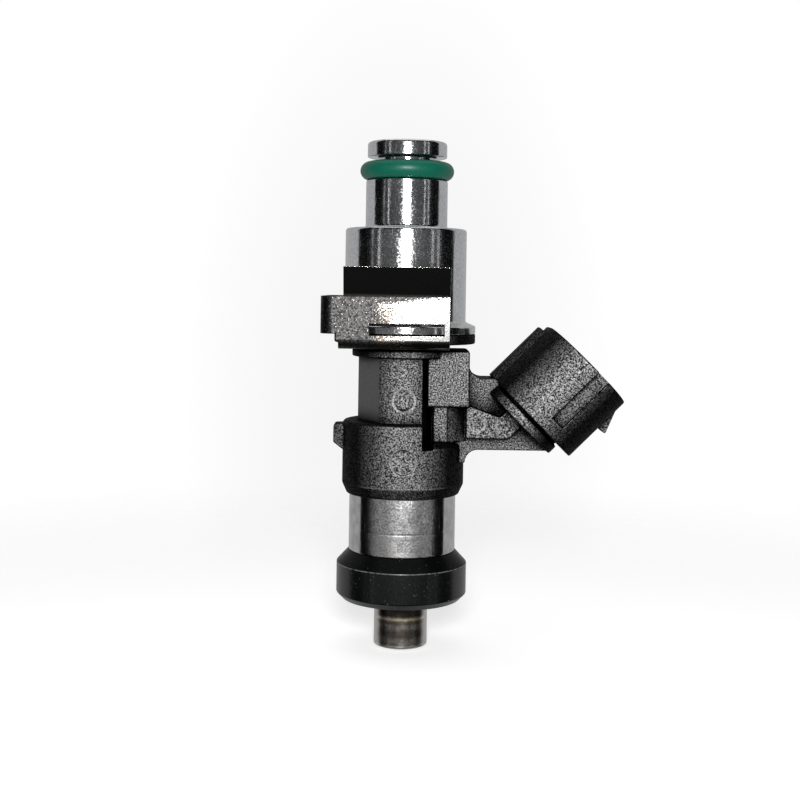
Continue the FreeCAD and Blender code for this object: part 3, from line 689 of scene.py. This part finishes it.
def node_materials():
    nylon = rgb(0.005, 0.0054, 0.0054)
    tin = rgb(0.70, 0.67, 0.60)
    black_plastic = moulded(
        "glass_filled_nylon", nylon, 0.66, sparkle=1.25, smooth_part=facet, seam=SEAM_Z, rings=ROUND_MARKS
    )
    smooth_plastic = moulded("plain_nylon", rgb(0.008, 0.008, 0.009), 0.4, depth=0.006, sparkle=0.3)
    pale_plastic = moulded("natural_nylon", rgb(0.55, 0.50, 0.40), 0.5, depth=0.006, sparkle=0.3)
    cloth = moulded("filter_cloth", rgb(0.5, 0.5, 0.5), 0.6, grain=0.12, depth=0.02, sparkle=0.3)
    copper = turned_metal("enamelled_copper", rgb(0.72, 0.30, 0.12), 0.3, ring_size=0.5, ring_depth=0.02)
    return {
        "injector_body": black_plastic,
        "seal_carrier": smooth_plastic,
        "backup_ring": smooth_plastic,
        "coil_bobbin": pale_plastic,
        "filter_frame": pale_plastic,
        "filter_mesh": cloth,
        "retaining_clip": rolled_steel(),
        "valve_sleeve": nozzle_steel(),
        "inlet_o_ring": rubber("inlet_rubber", rgb(0.012, 0.012, 0.013), 0.4),
        "orifice_plate": turned_metal("disc_steel", rgb(0.62, 0.61, 0.60), 0.3),
        "valve_seat": turned_metal("seat_steel", rgb(0.60, 0.60, 0.60), 0.22),
        "valve_ball": turned_metal("ball_steel", rgb(0.70, 0.70, 0.71), 0.08, aniso=0.0),
        "needle_tube": turned_metal("tube_steel", rgb(0.56, 0.55, 0.54), 0.3),
        "armature": turned_metal("armature_steel", rgb(0.50, 0.50, 0.51), 0.32),
        "inner_pole": turned_metal("pole_steel", rgb(0.48, 0.48, 0.49), 0.34),
        "adjusting_sleeve": turned_metal("adjuster_steel", rgb(0.58, 0.57, 0.56), 0.28),
        "cover_ring": turned_metal("washer_steel", rgb(0.50, 0.50, 0.50), 0.36),
        "coil_winding": copper,
        "terminal_front": turned_metal("tinned_brass", tin, 0.25, aniso=0.0),
        "terminal_rear": turned_metal("tinned_brass_rear", tin, 0.25, aniso=0.0),
        "filter_ring": turned_metal("filter_brass", rgb(0.75, 0.55, 0.22), 0.25),
    }


# ---------------------------------------------------------------- stage, light and camera


def pale_floor():
    """A white floor 1.2 m wide that fades out 20 to 150 mm from the object, and isn't there from below."""
    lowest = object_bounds()[0][2]
    place = (0, 0, lowest - 0.1 * MM)
    bpy.ops.mesh.primitive_grid_add(x_subdivisions=8, y_subdivisions=8, size=1.2, location=place)
    floor = bpy.context.object
    floor.name = "floor"
    g = Finish("pale_floor")
    g.set(Base_Color=rgb(0.80, 0.80, 0.805), Roughness=0.8, Emission_Color=WHITE, Emission_Strength=0.47)
    away = g.add("ShaderNodeVectorMath", {0: g.place}, operation="LENGTH").outputs["Value"]
    fade = g.between(away, 20 * MM, 150 * MM)
    fade = g.product(g.product(fade, fade), g.maths("MULTIPLY_ADD", fade, -2.0, 3.0))
    below = g.add("ShaderNodeNewGeometry").outputs["Backfacing"]
    clear = g.add("ShaderNodeBsdfTransparent")
    mix = g.add("ShaderNodeMixShader", {"Fac": g.maths("MAXIMUM", fade, below)})
    g.tree.links.new(g.shader.outputs[0], mix.inputs[1])
    g.tree.links.new(clear.outputs[0], mix.inputs[2])
    g.tree.links.new(mix.outputs[0], g.tree.nodes["Material Output"].inputs["Surface"])
    floor.data.materials.append(g.material)
    floor.visible_glossy = False
    floor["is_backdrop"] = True


def room_light(g, x, y, z):
    """A dark room in front with thin bright uprights and a pale table, and pale walls behind."""
    level = g.maths("SQRT", g.maths("ADD", g.product(x, x), g.product(y, y)))
    side = g.maths("DIVIDE", x, g.maths("MAXIMUM", level, 0.001))
    walls = g.between(y, 0.185, 0.215)
    front = g.between(y, 0.0, -0.05)
    glow = g.product(g.between(y, -0.2, -0.95), g.between(z, -0.30, -0.16))
    glow = g.product(glow, g.between(z, 0.60, 0.30))
    light = g.maths("MULTIPLY_ADD", walls, 0.45, g.maths("MULTIPLY_ADD", glow, 0.09, 0.004))
    table = g.product(g.between(z, -0.26, -0.21), g.between(z, -0.07, -0.12))
    table = g.product(table, g.product(g.between(side, -0.78, -0.72), g.between(side, 0.72, 0.5)))
    light = g.maths("MULTIPLY_ADD", g.product(table, front), 0.30, light)
    low_enough = g.between(g.maths("ABSOLUTE", z), 0.6, 0.5)
    uprights = ((-52, 0.010, 1.1), (51, 0.008, 1.3), (63, 0.010, 0.7), (-66, 0.008, 0.35))
    for angle, half, brightness in uprights:
        off = g.maths("ABSOLUTE", g.maths("SUBTRACT", side, math.sin(math.radians(angle))))
        strip = g.product(g.between(off, half + 0.004, half), g.product(front, low_enough))
        light = g.maths("MULTIPLY_ADD", strip, brightness, light)
    return light


def backdrop(g, x, y, z):
    """What the camera sees past the object: white, with a painted shadow that makes it a little greyer round
    the object.
    """
    ahead = g.maths("MAXIMUM", y, 0.05)
    right = g.maths("DIVIDE", g.maths("DIVIDE", x, ahead), 0.17)
    up = g.maths("DIVIDE", g.maths("ADD", g.maths("DIVIDE", z, ahead), 0.10), 0.36)
    away = g.maths("ADD", g.product(right, right), g.product(up, up))
    return g.between(away, 0.0, 1.0, 0.90, 1.0)


def surroundings():
    """The room lights and reflects in the object, and the camera sees the plain backdrop instead."""
    world = bpy.data.worlds.new("studio")
    bpy.context.scene.world = world
    world.use_nodes = True
    world.node_tree.nodes.clear()
    g = Graph(world.node_tree)
    split = g.add("ShaderNodeSeparateXYZ", {"Vector": g.add("ShaderNodeTexCoord").outputs["Generated"]})
    x, y, z = (split.outputs[axis] for axis in "XYZ")
    strength = g.add("ShaderNodeMix", data_type="FLOAT")
    g.put(strength.inputs[0], g.add("ShaderNodeLightPath").outputs["Is Camera Ray"])
    g.put(strength.inputs[2], room_light(g, x, y, z))
    g.put(strength.inputs[3], backdrop(g, x, y, z))
    back = g.add("ShaderNodeBackground", {"Color": WHITE, "Strength": strength.outputs[0]})
    out = g.add("ShaderNodeOutputWorld")
    g.put(out.inputs["Surface"], back.outputs[0])


def lamp(name, place, aim, size, power):
    """A round soft lamp that points at aim, in metres and watts."""
    data = bpy.data.lights.new(name, "AREA")
    data.shape = "DISK"
    data.size = size
    data.energy = power
    light = bpy.data.objects.new(name, data)
    light.location = place
    light.rotation_euler = (Vector(aim) - Vector(place)).to_track_quat("-Z", "Y").to_euler()
    bpy.context.scene.collection.objects.link(light)


def camera():
    """Looks straight along +Y from the front, a little rolled, with the view shifted down the injector."""
    eye = Vector((-0.725, -167.5, 46.85)) * MM
    data = bpy.data.cameras.new("camera")
    data.sensor_width = 36
    data.lens = 56.97
    data.shift_y = -0.14
    data.clip_start = 0.01
    holder = bpy.data.objects.new("camera", data)
    level = Matrix.Rotation(math.radians(90), 4, "X")
    roll = Matrix.Rotation(math.radians(0.88), 4, "Z")
    holder.matrix_world = Matrix.Translation(eye) @ level @ roll
    bpy.context.scene.collection.objects.link(holder)
    bpy.context.scene.camera = holder


adapter()
green_ring()
seal_ring()
steel_cup()
closing_spring()

for node_name, node_material in node_materials().items():
    finish_node(node_name, node_material)
soften("injector_body", 0.09, 3)
break_edges("retaining_clip", 0.11)

pale_floor()
surroundings()
lamp("flash", (0, -0.172, 0.073), (0, 0, 0.035), 0.042, 0.34)
lamp("overhead", (0, 0.05, 0.6), (0, 0, 0), 0.7, 1.0)
camera()
bpy.context.scene.view_settings.view_transform = "Standard"
